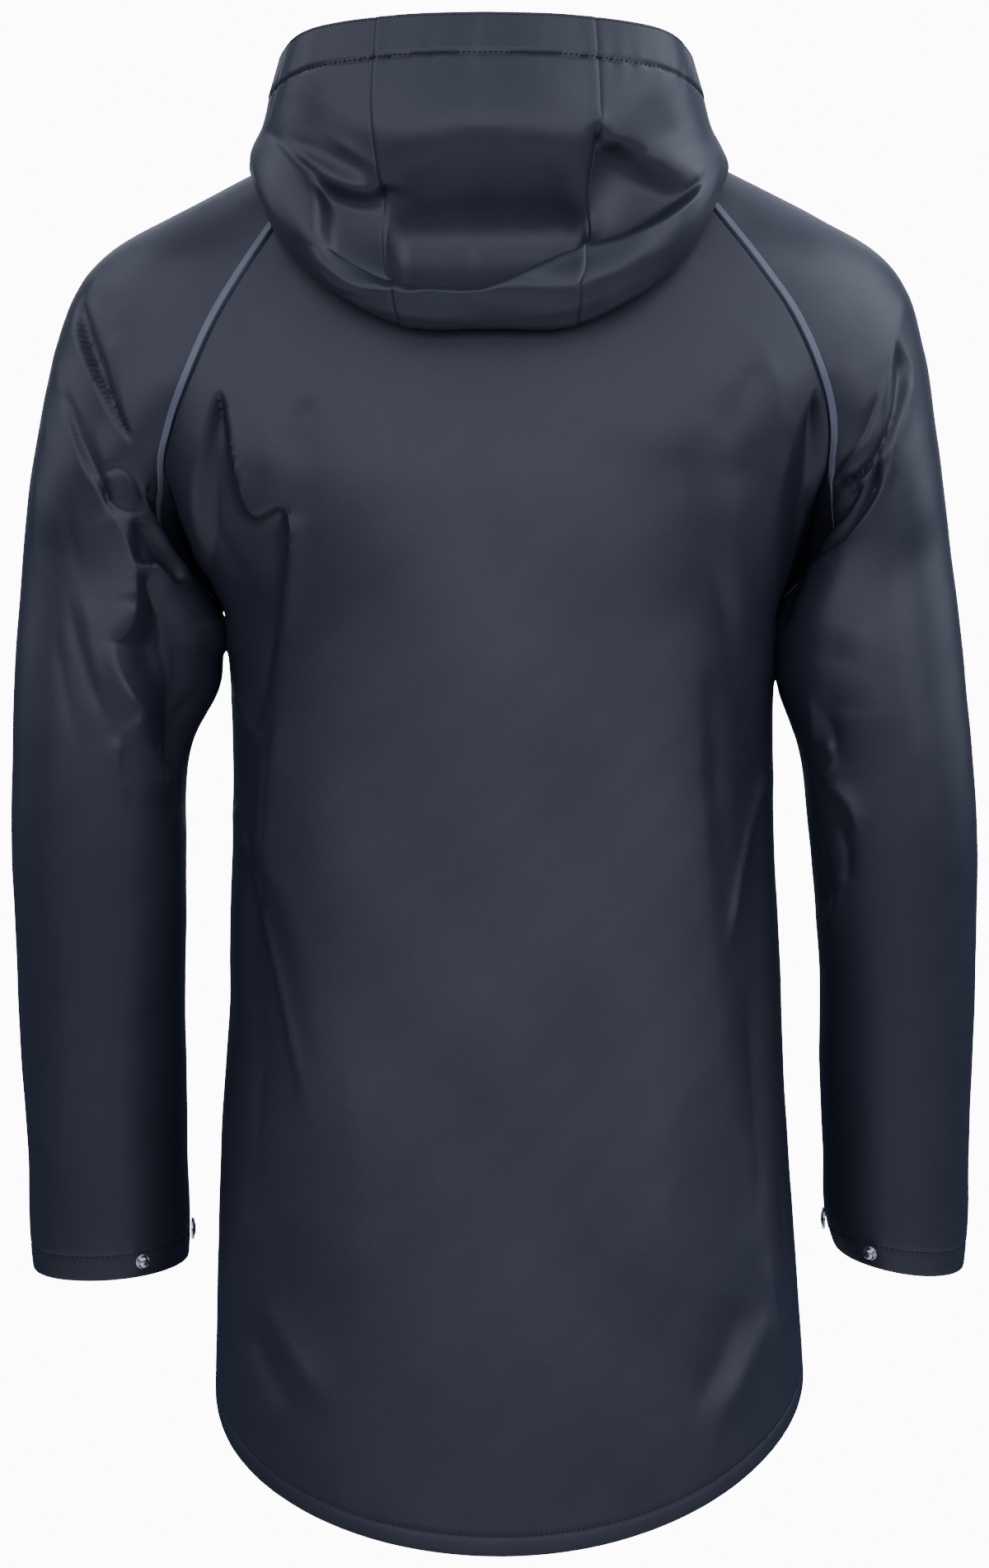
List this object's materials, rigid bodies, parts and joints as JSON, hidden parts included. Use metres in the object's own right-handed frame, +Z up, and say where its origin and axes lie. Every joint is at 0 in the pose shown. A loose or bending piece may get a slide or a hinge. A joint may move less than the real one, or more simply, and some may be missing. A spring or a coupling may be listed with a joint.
{
  "type": "hooded raincoat",
  "caption": "Long hooded raincoat in its worn form, hood thrown back, raglan sleeves, snap front and shirt-tail hem, hollow and open at neck, cuffs and hem.",
  "frame": {"origin": "middle of the neck opening at the height of the nape, where the wearer holds the coat up", "axes": "+Z up along the standing wearer, +X to the wearer's left, the front faces -Y and the hood hangs towards +Y"},
  "size_m": [0.6263, 0.3128, 0.9745],
  "materials": {
    "coated_cloth": "satin navy coating over a soft knit",
    "seam_strip": "satin slate-blue coating, folded strip",
    "snap_steel": "satin steel"
  },
  "bodies": {
    "root": {"back_panel": "coated_cloth", "front_left": "coated_cloth", "front_right": "coated_cloth", "sleeve_left": "coated_cloth", "sleeve_right": "coated_cloth", "hood_left": "coated_cloth", "hood_centre": "coated_cloth", "hood_right": "coated_cloth", "placket": "coated_cloth", "welt_back_left": "seam_strip", "welt_back_right": "seam_strip", "welt_front_left": "seam_strip", "welt_front_right": "seam_strip", "cuff_stud_left": "snap_steel", "cuff_stud_right": "snap_steel", "cuff_cap_left": "snap_steel", "cuff_cap_right": "snap_steel", "front_snap_1": "snap_steel", "front_snap_2": "snap_steel", "front_snap_3": "snap_steel", "front_snap_4": "snap_steel", "front_snap_5": "snap_steel", "front_snap_6": "snap_steel"}
  },
  "joints": []
}
